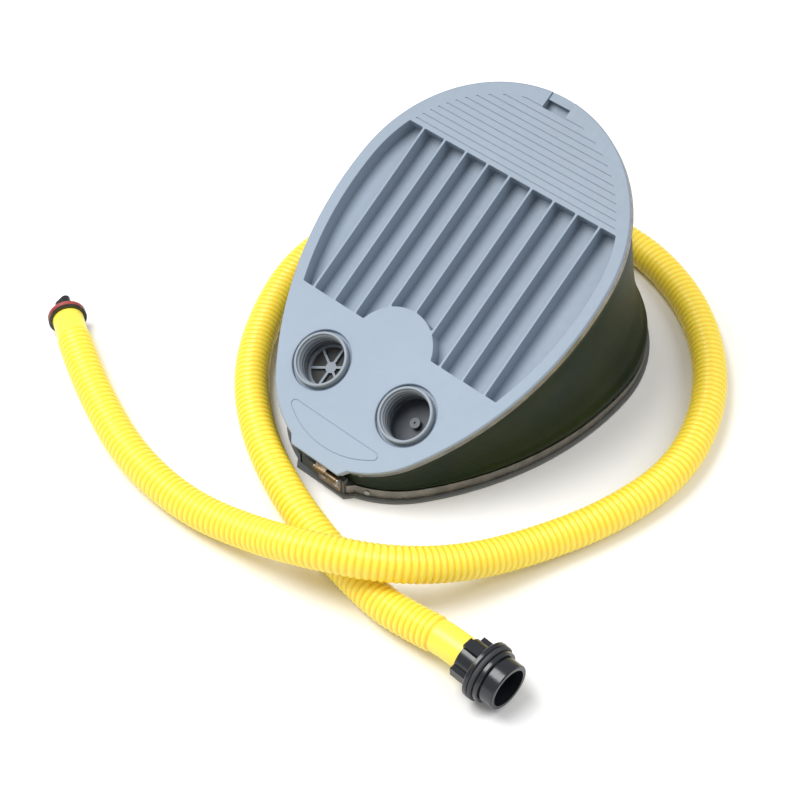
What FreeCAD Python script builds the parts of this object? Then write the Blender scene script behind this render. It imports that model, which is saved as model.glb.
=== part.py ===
import FreeCAD, Part
import math
import os
from FreeCAD import Rotation, Vector

# Bellows foot pump, standing open, with its loose hose laid round it.
# Millimetres.  +X is the pump's right, +Y runs from the hinge to the wide heel end, +Z is up.
# The origin lies on the ground under the middle of the pump.

# Egg-shaped outline shared by the footboard and the base: a nose circle at the hinge end, a rear
# circle at the heel, and two large side circles that touch both from inside.
LENGTH = 290.0
REAR_RADIUS = 105.3
NOSE_RADIUS = 74.8
SIDE_RADIUS = 236.3
REAR_CENTRE = LENGTH - REAR_RADIUS
NOSE_CENTRE = 76.1
LIP_HALF_WIDTH = 20.5
LIP_FOOT = 25.0

# The hinge: where the footboard turns, counted from its front edge and its top face.
OPEN_ANGLE = 32.0
CLOSED_ANGLE = 5.0
PIN_AHEAD = 3.0
PIN_BELOW = 11.0
PIN_HEIGHT = 17.7
PIN_RADIUS = 1.2
PIN_CLEARANCE = 0.05
KNUCKLE_RADIUS = 2.2
KNUCKLE_GAP = 0.2
HINGE_HALF_WIDTH = 9.7
HINGE_SIDE = 8.0
HINGE_SCREW = 5.5
HINGE_SCREW_HEAD = 2.2
HINGE_SCREW_SHANK = 1.2
LEAF = 1.2

# Shells, fabric and bands, counted inwards from the outline.
BAND = 1.2
FABRIC = 1.0
BASE_INSET = 1.0
BASE_FLANGE = 1.2
WALL = 2.6
SKIN = 2.4
BOARD_RIM_DEPTH = 7.6
BASE_RIM_HEIGHT = 10.8
BASE_BAND_GAP = 21.0
TOP_BAND_GAP = 26.0
RIVET_ANGLE = 26.0
HINGE_BLOCK_HEIGHT = 15.0
HINGE_BLOCK_BACK = 5.0
FABRIC_FRONT = 6.0

# Footboard grid, pad, heel ridges, crescent and catch notch.
RIB_PITCH = 18.7
RIB = 1.8
RIB_COUNT = 9
POCKET_DEPTH = 12.0
POCKET_INSET = 8.5
POCKET_FRONT = 95.3
POCKET_REAR = 226.0
POCKET_CORNER = 1.0
EDGE_ROUND = 1.0
MOUTH_ROUND = 0.4
TRAY_WALL = 2.0
PAD_CENTRE = 86.0
PAD_RADIUS = 31.0
RIDGE_FIRST = 229.6
RIDGE_PITCH = 4.75
RIDGE_COUNT = 13
RIDGE_WIDTH = 0.9
RIDGE_DEPTH = 0.5
CRESCENT_BACK = 26.5
CRESCENT_CORNER = 3.0
CRESCENT_GROOVE = 0.8
NOTCH_HALF_WIDTH = 9.5
NOTCH_FRONT = 277.0
LEDGE_FRONT = 284.0
LEDGE_DROP = 1.5
NOTCH_DEPTH = 7.0

# Ports.
PORT_SIDE = 37.4
PORT_BACK = 57.0
PORT_RING = 19.2
PORT_BORE = 16.2
PORT_RISE = 2.8
PORT_FOOT = 16.0
MOAT_RADIUS = 21.4
MOAT_DEPTH = 3.0
HUB_RADIUS = 22.6
INTAKE_HUB_DEPTH = 19.6
OUTLET_HUB_DEPTH = 24.4
SEAT_THICKNESS = 2.0
SEAT_OPENING = 14.6
SEAT_HUB = 3.9
SPOKE_COUNT = 6
SPOKE = 1.7
FLAP_RADIUS = 16.6
FLAP = 1.2
FLAP_GAP = 0.2
FLAP_PIN = 1.6
FLAP_HEAD = 3.6
INTAKE_LIFT = 3.5
OUTLET_LIFT = 2.2

# Coil spring between base and footboard, wound round the hinge's own arc.
SPRING_BACK = 168.0
SPRING_RADIUS = 26.0
SPRING_WIRE = 1.5
SPRING_TURNS = 6
SPRING_SEAT = 0.5
SPRING_CUP = 23.0
SPRING_CUP_HEIGHT = 6.0

# Storage latch at the heel.
LATCH_PIVOT_BACK = 295.5
LATCH_PIVOT_HEIGHT = 6.4
LATCH_LEAN = 10.0
LATCH_ARM = 49.4
LATCH_LIP = 9.0
LATCH_LIP_THICKNESS = 2.8
LATCH_THICKNESS = 3.0
LATCH_HALF_WIDTH = 7.4
LATCH_PIN = 1.25

# Hose and its two end fittings.
HOSE_RADIUS = 12.0
HOSE_BORE = 10.4
HOSE_ROUTE = [
    (171.8, -200.9, 19.8), (154, -200.1, 19.8), (130, -201.8, 15.6), (102, -202.4, 12.4),
    (56, -195, 12.2), (0, -179, 12.2), (-54, -153, 12.2), (-99, -116, 12.2), (-130, -68, 12.2),
    (-150, -16, 12.2), (-150, 34, 12.2), (-127, 84, 12.2), (-87, 128, 12.2), (-40, 160, 12.2),
    (18, 170, 12.2), (75, 153, 12.2), (123, 118, 12.2), (158, 70, 12.2), (176, 10, 12.2),
    (167, -50, 12.2), (146, -105, 14), (127, -154, 26), (101, -193, 39.5), (60, -215, 39.5),
    (10, -222, 21), (-44, -229, 12.2), (-101, -224, 12.2), (-156, -204, 12.2),
    (-203.5, -181.1, 13.8), (-229.5, -166.3, 13.8),
]
CONNECTOR_FLANGE = 19.6
CONNECTOR_RING = 17.8
CONNECTOR_NOSE = 15.8
CONNECTOR_BORE = 12.8
CONNECTOR_LENGTH = 33.7
GRIP_LENGTH = 13.4
GRIP_RADIUS = 12.2
GRIP_LUG_RADIUS = 15.2
GRIP_LUG_WIDTH = 7.0
GRIP_LUGS = 4
GASKET_SEAT = 16.0
ADAPTOR_FLANGE = 13.6
ADAPTOR_SEAT = 9.2
ADAPTOR_NECK = 4.6
ADAPTOR_HEAD_LENGTH = 12.4
ADAPTOR_HEAD_WIDTH = 7.0
ADAPTOR_HEAD_TURN = 20.0
ADAPTOR_HOLE = 2.6
O_RING = 2.15

SIDE_REACH = SIDE_RADIUS - REAR_RADIUS
NOSE_REACH = SIDE_RADIUS - NOSE_RADIUS
SIDE_CENTRE = (
    (NOSE_REACH ** 2 - SIDE_REACH ** 2 + REAR_CENTRE ** 2 - NOSE_CENTRE ** 2)
    / (2 * (REAR_CENTRE - NOSE_CENTRE))
)
SIDE_OFFSET = math.sqrt(SIDE_REACH ** 2 - (SIDE_CENTRE - REAR_CENTRE) ** 2)

# The pump reaches from the raised front edge to the latch that leans out behind it.
REAR_END = (
    LATCH_PIVOT_BACK
    + LATCH_THICKNESS / 2 * math.cos(math.radians(LATCH_LEAN))
    + LATCH_ARM * math.sin(math.radians(LATCH_LEAN))
)
FRONT_END = (
    PIN_AHEAD * math.cos(math.radians(OPEN_ANGLE))
    - PIN_BELOW * math.sin(math.radians(OPEN_ANGLE))
)
PIN_Y = -(REAR_END + FRONT_END) / 2

X_AXIS = Vector(1, 0, 0)
Y_AXIS = Vector(0, 1, 0)
Z_AXIS = Vector(0, 0, 1)


def block(x0, x1, y0, y1, z0, z1):
    return Part.makeBox(x1 - x0, y1 - y0, z1 - z0, Vector(x0, y0, z0))


def rod(radius, z0, z1, x=0.0, y=0.0):
    return Part.makeCylinder(radius, z1 - z0, Vector(x, y, z0))


def cross_rod(radius, x0, x1, y, z):
    return Part.makeCylinder(radius, x1 - x0, Vector(x0, y, z), X_AXIS)


def tube(outer, inner, z0, z1, x=0.0, y=0.0):
    return rod(outer, z0, z1, x, y).cut(rod(inner, z0 - 1, z1 + 1, x, y))


def prism(face, z0, z1):
    lifted = face.copy()
    lifted.translate(Vector(0, 0, z0))
    return lifted.extrude(Vector(0, 0, z1 - z0))


def joined(shapes):
    return shapes[0].multiFuse(shapes[1:]).removeSplitter()


def mirrored(point):
    return Vector(-point.x, point.y, point.z)


def arc_about(centre, radius, start, end):
    middle = (start + end) * 0.5 - centre
    middle.normalize()
    return Part.Arc(start, centre + middle * radius, end).toShape()


def outline_wire(inset, front=None, height=0.0):
    """The egg outline drawn inset inside itself, with a straight front edge.

    Without front, the edge is the hinge lip, with short slanting sides up to the nose circle.
    With front, the nose circle is cut straight across at that distance from the front.
    """
    nose_centre = Vector(0, NOSE_CENTRE, height)
    rear_centre = Vector(0, REAR_CENTRE, height)
    side_centre = Vector(-SIDE_OFFSET, SIDE_CENTRE, height)
    nose_radius = NOSE_RADIUS - inset
    to_nose = (nose_centre - side_centre).normalize()
    to_rear = (rear_centre - side_centre).normalize()
    nose_join = nose_centre + to_nose * nose_radius
    rear_join = rear_centre + to_rear * (REAR_RADIUS - inset)
    if front is None:
        corner = Vector(LIP_HALF_WIDTH - inset / 2, inset, height)
        foot = LIP_FOOT - inset / 2
        start = Vector(foot, NOSE_CENTRE - math.sqrt(nose_radius ** 2 - foot ** 2), height)
        lips = [Part.LineSegment(corner, start).toShape()]
        lips.append(Part.LineSegment(mirrored(start), mirrored(corner)).toShape())
    else:
        corner = Vector(math.sqrt(nose_radius ** 2 - (NOSE_CENTRE - front) ** 2), front, height)
        start = corner
        lips = []
    right = [
        arc_about(nose_centre, nose_radius, start, nose_join),
        arc_about(side_centre, SIDE_RADIUS - inset, nose_join, rear_join),
    ]
    left = [
        arc_about(mirrored(side_centre), SIDE_RADIUS - inset, mirrored(rear_join), mirrored(nose_join)),
        arc_about(nose_centre, nose_radius, mirrored(nose_join), mirrored(start)),
    ]
    top = Vector(0, LENGTH - inset, height)
    heel = Part.Arc(rear_join, top, mirrored(rear_join)).toShape()
    front_edge = Part.LineSegment(mirrored(corner), corner).toShape()
    return Part.Wire(Part.__sortEdges__([front_edge] + lips + right + [heel] + left))


def outline(inset, front=None):
    return Part.Face(outline_wire(inset, front))


def on_board(shape):
    """Move a shape from the footboard's own frame to where the open footboard holds it."""
    placed = shape.copy()
    placed.translate(Vector(0, PIN_AHEAD, PIN_BELOW))
    placed.rotate(Vector(0, 0, 0), X_AXIS, OPEN_ANGLE)
    placed.translate(Vector(0, PIN_Y, PIN_HEIGHT))
    return placed


def on_base(shape):
    """Move a shape drawn from the base's front edge to its place on the ground."""
    placed = shape.copy()
    placed.translate(Vector(0, PIN_Y + PIN_AHEAD, 0))
    return placed


def at_pin(shape):
    """Move a shape drawn about the hinge pin to its place on the base."""
    placed = shape.copy()
    placed.translate(Vector(0, PIN_Y, PIN_HEIGHT))
    return placed


def beside(shape):
    """Move a part of the hinge sideways: the hinge sits right of the pump's middle."""
    placed = shape.copy()
    placed.translate(Vector(HINGE_SIDE, 0, 0))
    return placed


def upright_edges(solid):
    found = []
    for edge in solid.Edges:
        ends = [vertex.Point for vertex in edge.Vertexes]
        if len(ends) == 2 and abs(abs(ends[0].z - ends[1].z) - (ends[0] - ends[1]).Length) < 1e-6:
            if (ends[0] - ends[1]).Length > 1.0:
                found.append(edge)
    return found


def edges_at_height(solid, height):
    found = []
    for edge in solid.Edges:
        box = edge.BoundBox
        if abs(box.ZMin - height) < 1e-4 and abs(box.ZMax - height) < 1e-4:
            found.append(edge)
    return found


# ---------------------------------------------------------------- footboard

def pocket_tools():
    """The sunk pockets between the long ribs, cut short where they meet the round pad."""
    reach = PORT_SIDE * 4
    field = prism(outline(POCKET_INSET), -POCKET_DEPTH, 0.0)
    field = field.common(block(-reach, reach, POCKET_FRONT, POCKET_REAR, -POCKET_DEPTH, 0.0))
    field = field.cut(rod(PAD_RADIUS, -POCKET_DEPTH - 1, 1, 0, PAD_CENTRE))
    half = (RIB_COUNT - 1) / 2
    for index in range(RIB_COUNT):
        x = (index - half) * RIB_PITCH
        field = field.cut(block(x - RIB / 2, x + RIB / 2, 0, LENGTH, -POCKET_DEPTH - 1, 1))
    pockets = []
    for solid in field.Solids:
        pockets.append(solid.makeFillet(POCKET_CORNER, upright_edges(solid)))
    return pockets


def ridge_tools():
    """Fine cross grooves that roughen the heel plate."""
    grooves = []
    field = prism(outline(POCKET_INSET + 1.0), -RIDGE_DEPTH, 1.0)
    for index in range(RIDGE_COUNT):
        y = RIDGE_FIRST + index * RIDGE_PITCH
        strip = block(-LENGTH, LENGTH, y - RIDGE_WIDTH / 2, y + RIDGE_WIDTH / 2, -RIDGE_DEPTH, 1.0)
        grooves.append(field.common(strip))
    return grooves


def crescent_wire(inset):
    """Half-moon between the nose and a straight line, with rounded tips."""
    radius = NOSE_RADIUS - POCKET_INSET - inset
    back = CRESCENT_BACK - inset
    corner = CRESCENT_CORNER - inset
    centre = Vector(0, NOSE_CENTRE, 0)
    tip_y = back - corner
    tip_x = math.sqrt((radius - corner) ** 2 - (NOSE_CENTRE - tip_y) ** 2)
    tip = Vector(tip_x, tip_y, 0)
    outward = (tip - centre).normalize()
    on_arc = centre + outward * radius
    on_line = Vector(tip_x, back, 0)
    end = arc_about(tip, corner, on_arc, on_line)
    far_end = arc_about(mirrored(tip), corner, mirrored(on_line), mirrored(on_arc))
    straight = Part.LineSegment(on_line, mirrored(on_line)).toShape()
    curve = arc_about(centre, radius, mirrored(on_arc), on_arc)
    return Part.Wire([end, straight, far_end, curve])


def crescent_tool():
    outer = prism(Part.Face(crescent_wire(0.0)), -RIDGE_DEPTH, 1.0)
    inner = prism(Part.Face(crescent_wire(CRESCENT_GROOVE)), -RIDGE_DEPTH - 1, 2.0)
    return outer.cut(inner)


def notch_tools():
    """Pocket and lowered ledge at the heel, where the storage latch catches."""
    pocket = block(-NOTCH_HALF_WIDTH, NOTCH_HALF_WIDTH, NOTCH_FRONT, LEDGE_FRONT, -NOTCH_DEPTH, 1)
    ledge = block(-NOTCH_HALF_WIDTH, NOTCH_HALF_WIDTH, LEDGE_FRONT - 1, LENGTH + 5, -LEDGE_DROP, 1)
    return [pocket, ledge]


def port_tools():
    tools = []
    for x, depth in ((-PORT_SIDE, INTAKE_HUB_DEPTH), (PORT_SIDE, OUTLET_HUB_DEPTH)):
        tools.append(rod(MOAT_RADIUS, -MOAT_DEPTH, 1, x, PORT_BACK))
        tools.append(Part.makeCone(
            MOAT_RADIUS, MOAT_RADIUS + MOUTH_ROUND, MOUTH_ROUND, Vector(x, PORT_BACK, -MOUTH_ROUND)))
        tools.append(rod(PORT_RING, -depth - 1, 1, x, PORT_BACK))
    return tools


def notch_box():
    """Walls and floor moulded round the catch notch."""
    side = NOTCH_HALF_WIDTH + TRAY_WALL
    return block(-side, side, NOTCH_FRONT - TRAY_WALL, LENGTH - 4, -NOTCH_DEPTH - TRAY_WALL, -SKIN)


def footboard():
    skin = prism(outline(0), -SKIN, 0)
    rim_front = FABRIC_FRONT + FABRIC
    rim_inset = BAND + FABRIC
    rim = prism(outline(rim_inset, rim_front), -BOARD_RIM_DEPTH, -SKIN)
    rim = rim.cut(prism(outline(rim_inset + WALL, rim_front + WALL), -BOARD_RIM_DEPTH - 1, 0))
    front_web = prism(outline(BAND), -BOARD_RIM_DEPTH, -SKIN)
    front_web = front_web.common(block(-LENGTH, LENGTH, LEAF + 0.2, FABRIC_FRONT, -LENGTH, 0))
    tray = prism(outline(POCKET_INSET - TRAY_WALL), -POCKET_DEPTH - TRAY_WALL, -SKIN)
    tray = tray.common(block(
        -LENGTH, LENGTH, POCKET_FRONT - TRAY_WALL, POCKET_REAR + TRAY_WALL, -LENGTH, 0))
    cup = tube(SPRING_CUP, SPRING_CUP - TRAY_WALL, -POCKET_DEPTH - TRAY_WALL - SPRING_CUP_HEIGHT,
               -POCKET_DEPTH - 1, 0, SPRING_BACK)
    hubs = [
        rod(HUB_RADIUS, -INTAKE_HUB_DEPTH, -1, -PORT_SIDE, PORT_BACK),
        rod(HUB_RADIUS, -OUTLET_HUB_DEPTH, -1, PORT_SIDE, PORT_BACK),
    ]
    board = joined([skin, rim, front_web, tray, cup, notch_box()] + hubs)
    board = board.makeFillet(EDGE_ROUND, edges_at_height(board, 0.0))
    for tool in pocket_tools():
        board = board.cut(tool)
    inner = outline(POCKET_INSET - 1.0)
    mouths = [e for e in edges_at_height(board, 0.0) if inner.isInside(e.Vertexes[0].Point, 0.01, True)]
    board = board.makeFillet(MOUTH_ROUND, mouths)
    for tool in port_tools() + notch_tools() + ridge_tools() + [crescent_tool()]:
        board = board.cut(tool)
    return board


def top_band():
    band = prism(outline(0, FABRIC_FRONT), -BOARD_RIM_DEPTH, -SKIN)
    band = band.cut(prism(outline(BAND, FABRIC_FRONT), -BOARD_RIM_DEPTH - 1, 0))
    return band.cut(block(-TOP_BAND_GAP, TOP_BAND_GAP, -5, 20, -BOARD_RIM_DEPTH - 1, 0))


def port_sleeve(x):
    """Raised screw socket; its thread is left to the finished look, the bore is its crest."""
    sleeve = tube(PORT_RING, PORT_BORE, -PORT_FOOT, PORT_RISE, x, PORT_BACK)
    return sleeve.makeFillet(0.8, edges_at_height(sleeve, PORT_RISE))


def spider(x, top):
    """Open wheel of spokes that carries a flap valve."""
    bottom = top - SEAT_THICKNESS
    pieces = [
        tube(PORT_RING, SEAT_OPENING, bottom, top, x, PORT_BACK),
        rod(SEAT_HUB, bottom, top, x, PORT_BACK),
    ]
    for index in range(SPOKE_COUNT):
        spoke = block(SEAT_HUB - 1, SEAT_OPENING + 1, -SPOKE / 2, SPOKE / 2, bottom, top)
        spoke.rotate(Vector(0, 0, 0), Z_AXIS, 30 + index * 360 / SPOKE_COUNT)
        spoke.translate(Vector(x, PORT_BACK, 0))
        pieces.append(spoke)
    wheel = joined(pieces)
    return wheel.cut(rod(FLAP_PIN, bottom - 1, top + 1, x, PORT_BACK))


def flap(x, low):
    return tube(FLAP_RADIUS, FLAP_PIN + 0.05, low, low + FLAP, x, PORT_BACK)


INTAKE_SEAT_TOP = -PORT_FOOT
INTAKE_FLAP_LOW = INTAKE_SEAT_TOP - SEAT_THICKNESS - FLAP_GAP - FLAP
OUTLET_SEAT_TOP = -OUTLET_HUB_DEPTH + SEAT_THICKNESS
OUTLET_FLAP_LOW = OUTLET_SEAT_TOP + FLAP_GAP


def intake_pin():
    """Rivet through the spider hub; its lower head stops the falling flap."""
    stop = INTAKE_FLAP_LOW - INTAKE_LIFT - 0.2
    shank = rod(FLAP_PIN, stop, INTAKE_SEAT_TOP, -PORT_SIDE, PORT_BACK)
    return shank.fuse(rod(FLAP_HEAD, stop - 1.0, stop, -PORT_SIDE, PORT_BACK)).removeSplitter()


def outlet_pin():
    """Post on the outlet seat with a drilled head that stops the rising flap."""
    stop = OUTLET_FLAP_LOW + FLAP + OUTLET_LIFT + 0.2
    shank = rod(FLAP_PIN, OUTLET_SEAT_TOP - SEAT_THICKNESS, stop, PORT_SIDE, PORT_BACK)
    post = shank.fuse(rod(FLAP_HEAD, stop, stop + 1.8, PORT_SIDE, PORT_BACK)).removeSplitter()
    post = post.cut(rod(0.9, stop + 0.6, stop + 5, PORT_SIDE, PORT_BACK))
    return post


# ---------------------------------------------------------------- hinge

def knuckle(x0, x1, bore):
    return cross_rod(KNUCKLE_RADIUS, x0, x1, 0, 0).cut(cross_rod(bore, x0 - 1, x1 + 1, 0, 0))


def leaf_screw_holes(y0, y1, z):
    """Two countersunk holes whose heads face forwards."""
    tools = []
    for x in (-HINGE_SCREW, HINGE_SCREW):
        tools.append(Part.makeCylinder(HINGE_SCREW_SHANK, y1 - y0 + 2, Vector(x, y0 - 1, z), Y_AXIS))
        tools.append(Part.makeCone(HINGE_SCREW_HEAD, HINGE_SCREW_SHANK, 1.0, Vector(x, y0, z), Y_AXIS))
    return tools


def leaf_screws(y0, z):
    screws = []
    for x in (-HINGE_SCREW, HINGE_SCREW):
        head = Part.makeCone(HINGE_SCREW_HEAD, HINGE_SCREW_SHANK, 1.0, Vector(x, y0, z), Y_AXIS)
        shank = Part.makeCylinder(HINGE_SCREW_SHANK, 3.6, Vector(x, y0 + 1.0, z), Y_AXIS)
        slot = block(x - 3, x + 3, y0 - 1, y0 + 0.4, z - 0.3, z + 0.3)
        screws.append(head.fuse(shank).removeSplitter().cut(slot))
    return Part.makeCompound(screws)


BASE_LEAF_SCREWS = -9.0
TOP_LEAF_SCREWS = 6.0
BASE_LEAF_FACE = PIN_AHEAD + BASE_INSET - LEAF
TOP_LEAF_FACE = PIN_AHEAD + 0.2


def base_leaf():
    plate = block(-HINGE_HALF_WIDTH, HINGE_HALF_WIDTH, BASE_LEAF_FACE, BASE_LEAF_FACE + LEAF, -14.0, -1.4)
    arm = block(KNUCKLE_GAP, HINGE_HALF_WIDTH, 0, BASE_LEAF_FACE + LEAF, -KNUCKLE_RADIUS, -1.4)
    arm = arm.cut(cross_rod(PIN_RADIUS, -1, HINGE_HALF_WIDTH + 1, 0, 0))
    leaf = joined([plate, arm, knuckle(KNUCKLE_GAP, HINGE_HALF_WIDTH, PIN_RADIUS)])
    for tool in leaf_screw_holes(BASE_LEAF_FACE, BASE_LEAF_FACE + LEAF, BASE_LEAF_SCREWS):
        leaf = leaf.cut(tool)
    return leaf


def top_leaf():
    bore = PIN_RADIUS + PIN_CLEARANCE
    plate = block(-HINGE_HALF_WIDTH, HINGE_HALF_WIDTH, TOP_LEAF_FACE, TOP_LEAF_FACE + LEAF, 1.4,
                  PIN_BELOW - SKIN)
    arm = block(-HINGE_HALF_WIDTH, -KNUCKLE_GAP, 0, TOP_LEAF_FACE + LEAF, 1.4, KNUCKLE_RADIUS)
    arm = arm.cut(cross_rod(bore, -HINGE_HALF_WIDTH - 1, 1, 0, 0))
    leaf = joined([plate, arm, knuckle(-HINGE_HALF_WIDTH, -KNUCKLE_GAP, bore)])
    for tool in leaf_screw_holes(TOP_LEAF_FACE, TOP_LEAF_FACE + LEAF, TOP_LEAF_SCREWS):
        leaf = leaf.cut(tool)
    leaf.translate(Vector(0, -PIN_AHEAD, -PIN_BELOW))
    return leaf


def top_leaf_screws():
    screws = leaf_screws(TOP_LEAF_FACE, TOP_LEAF_SCREWS)
    screws.translate(Vector(0, -PIN_AHEAD, -PIN_BELOW))
    return screws


def hinge_pin():
    end = HINGE_HALF_WIDTH + 1.2
    pin = cross_rod(PIN_RADIUS, -end, end, 0, 0)
    head = cross_rod(PIN_RADIUS + 0.7, HINGE_HALF_WIDTH + 0.2, end, 0, 0)
    return pin.fuse(head).removeSplitter()


# ---------------------------------------------------------------- base

def base_plate():
    rim_inset = BASE_INSET + BAND + FABRIC
    rim_front = FABRIC_FRONT + FABRIC + 1.0
    floor = prism(outline(-BASE_FLANGE), 0, SKIN)
    rim = prism(outline(rim_inset, rim_front), SKIN - 1, BASE_RIM_HEIGHT)
    rim = rim.cut(prism(outline(rim_inset + WALL, rim_front + WALL), SKIN - 2, BASE_RIM_HEIGHT + 1))
    front_web = prism(outline(BASE_INSET + BAND), 0.5, BASE_RIM_HEIGHT)
    front_web = front_web.common(block(-LENGTH, LENGTH, 0, FABRIC_FRONT + 1.0, 0, LENGTH))
    hinge_block = beside(block(-HINGE_HALF_WIDTH - 2, HINGE_HALF_WIDTH + 2, BASE_INSET, HINGE_BLOCK_BACK,
                               0.5, HINGE_BLOCK_HEIGHT))
    cup = tube(SPRING_CUP, SPRING_CUP - TRAY_WALL, 0.5, SKIN + SPRING_CUP_HEIGHT, 0, SPRING_BACK)
    base = joined([floor, rim, front_web, hinge_block, cup] + latch_ears())
    base = base.makeFillet(0.8, edges_at_height(base, 0.0))
    for tool in underside_tools():
        base = base.cut(tool)
    pivot = LATCH_PIVOT_BACK - PIN_AHEAD
    return base.cut(cross_rod(LATCH_PIN, -30, 30, pivot, LATCH_PIVOT_HEIGHT))


def underside_tools():
    """Shallow panels sunk into the underside between flat cross ribs."""
    field = prism(outline(BASE_INSET + 9.0), -1, 0.9)
    panels = []
    rows = 6
    first = 14.0
    pitch = (LENGTH - 2 * first) / rows
    for row in range(rows):
        y0 = first + row * pitch + 3.0
        y1 = first + (row + 1) * pitch - 3.0
        for side in (-1, 1):
            x0, x1 = sorted((side * 6.0, side * LENGTH))
            panels.append(field.common(block(x0, x1, y0, y1, -1, 0.9)))
    return panels


def latch_ears():
    """A tab behind the heel with two ears that hold the latch pin."""
    pivot = LATCH_PIVOT_BACK - PIN_AHEAD
    tab = block(-11.0, 11.0, LENGTH - 8.0, pivot + 3.0, 0, SKIN)
    ears = [tab]
    for x0, x1 in ((-11.0, -8.0), (8.0, 11.0)):
        ears.append(block(x0, x1, LENGTH - BASE_INSET + 0.3, pivot + 3.0, 0.5, LATCH_PIVOT_HEIGHT + 3.0))
    return ears


def base_band():
    """Band round the base rim and the sides of the lip, open in front where the hinge is."""
    band = prism(outline(BASE_INSET), SKIN, BASE_RIM_HEIGHT)
    band = band.cut(prism(outline(BASE_INSET + BAND), 0, BASE_RIM_HEIGHT + 1))
    return band.cut(block(-BASE_BAND_GAP, BASE_BAND_GAP, -5, 20, 0, BASE_RIM_HEIGHT + 1))


def band_rivets(inset, height):
    """One flat rivet through each end of a band, the fabric and the rim behind it."""
    rivets = []
    for side in (-1, 1):
        centre = Vector(0, NOSE_CENTRE, height)
        angle = math.radians(-90 + side * RIVET_ANGLE)
        outward = Vector(math.cos(angle), math.sin(angle), 0)
        surface = NOSE_RADIUS - inset
        head = Part.makeCylinder(2.0, 0.6, centre + outward * surface, outward)
        shank = Part.makeCylinder(0.9, 4.0, centre + outward * (surface - 4.0), outward)
        rivets.append(head.fuse(shank).removeSplitter())
    return Part.makeCompound(rivets)


def latch_hook():
    """Flat arm with a forward lip that catches the ledge of the closed footboard."""
    half = LATCH_THICKNESS / 2
    arm = block(-LATCH_HALF_WIDTH, LATCH_HALF_WIDTH, -half, half, 0, LATCH_ARM)
    root = cross_rod(3.0, -LATCH_HALF_WIDTH, LATCH_HALF_WIDTH, 0, 0)
    lip = block(-LATCH_HALF_WIDTH, LATCH_HALF_WIDTH, -LATCH_LIP, half,
                LATCH_ARM - LATCH_LIP_THICKNESS, LATCH_ARM)
    hook = joined([arm, root, lip])
    hook = hook.cut(cross_rod(LATCH_PIN + PIN_CLEARANCE, -20, 20, 0, 0))
    hook = hook.cut(block(-3.5, 3.5, -half - 1, half + 1, 10, LATCH_ARM - 14))
    hook.rotate(Vector(0, 0, 0), X_AXIS, -LATCH_LEAN)
    hook.translate(Vector(0, PIN_Y + LATCH_PIVOT_BACK, LATCH_PIVOT_HEIGHT))
    return hook


def latch_pin():
    return cross_rod(LATCH_PIN, -11.0, 11.0, PIN_Y + LATCH_PIVOT_BACK, LATCH_PIVOT_HEIGHT)


# ---------------------------------------------------------------- bellows and spring

def wall_between(base_inset, board_inset, step):
    """Solid between the base outline and the footboard outline, one straight wall all round."""
    low = outline_wire(base_inset, FABRIC_FRONT + 1.0 + step, BASE_RIM_HEIGHT)
    high = outline_wire(board_inset, FABRIC_FRONT + step, -BOARD_RIM_DEPTH)
    return Part.makeLoft([on_base(low), on_board(high)], True, True)


def bellows():
    base_outer = BASE_INSET + BAND
    shell = wall_between(base_outer, BAND, 0).cut(wall_between(base_outer + FABRIC, BAND + FABRIC, FABRIC))
    hem = prism(outline(base_outer, FABRIC_FRONT + 1.0), SKIN, BASE_RIM_HEIGHT)
    hem = hem.cut(prism(outline(base_outer + FABRIC, FABRIC_FRONT + 1.0 + FABRIC), 0, BASE_RIM_HEIGHT + 1))
    top_hem = prism(outline(BAND, FABRIC_FRONT), -BOARD_RIM_DEPTH, -SKIN)
    top_hem = top_hem.cut(
        prism(outline(BAND + FABRIC, FABRIC_FRONT + FABRIC), -BOARD_RIM_DEPTH - 1, 0))
    return joined([shell, on_base(hem), on_board(top_hem)])


def spring_point(turn):
    """Centre of the wire after so many turns, on a coil that bends round the hinge."""
    clear = SPRING_WIRE + 0.3
    reach = PIN_AHEAD + SPRING_BACK
    low = math.atan2(SKIN + clear - PIN_HEIGHT, reach)
    underside = -POCKET_DEPTH - TRAY_WALL - clear + PIN_BELOW
    high = math.radians(OPEN_ANGLE) + math.atan2(underside, reach)
    travel = min(max((turn - SPRING_SEAT) / (SPRING_TURNS - 2 * SPRING_SEAT), 0.0), 1.0)
    angle = low + (high - low) * travel
    tilt = math.radians(OPEN_ANGLE) * travel
    around = 2 * math.pi * turn
    side = SPRING_RADIUS * math.cos(around)
    along = SPRING_RADIUS * math.sin(around)
    centre = Vector(0, reach * math.cos(angle), reach * math.sin(angle))
    return centre + Vector(side, along * math.cos(tilt), along * math.sin(tilt))


def spring():
    steps = SPRING_TURNS * 16
    points = [spring_point(i * SPRING_TURNS / steps) for i in range(steps + 1)]
    curve = Part.BSplineCurve()
    curve.interpolate(points)
    start = curve.tangent(curve.FirstParameter)[0]
    ring = Part.Wire(Part.Circle(points[0], start, SPRING_WIRE).toShape())
    coil = Part.Wire(curve.toShape()).makePipeShell([ring], True, True)
    return at_pin(coil)


# ---------------------------------------------------------------- hose

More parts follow.
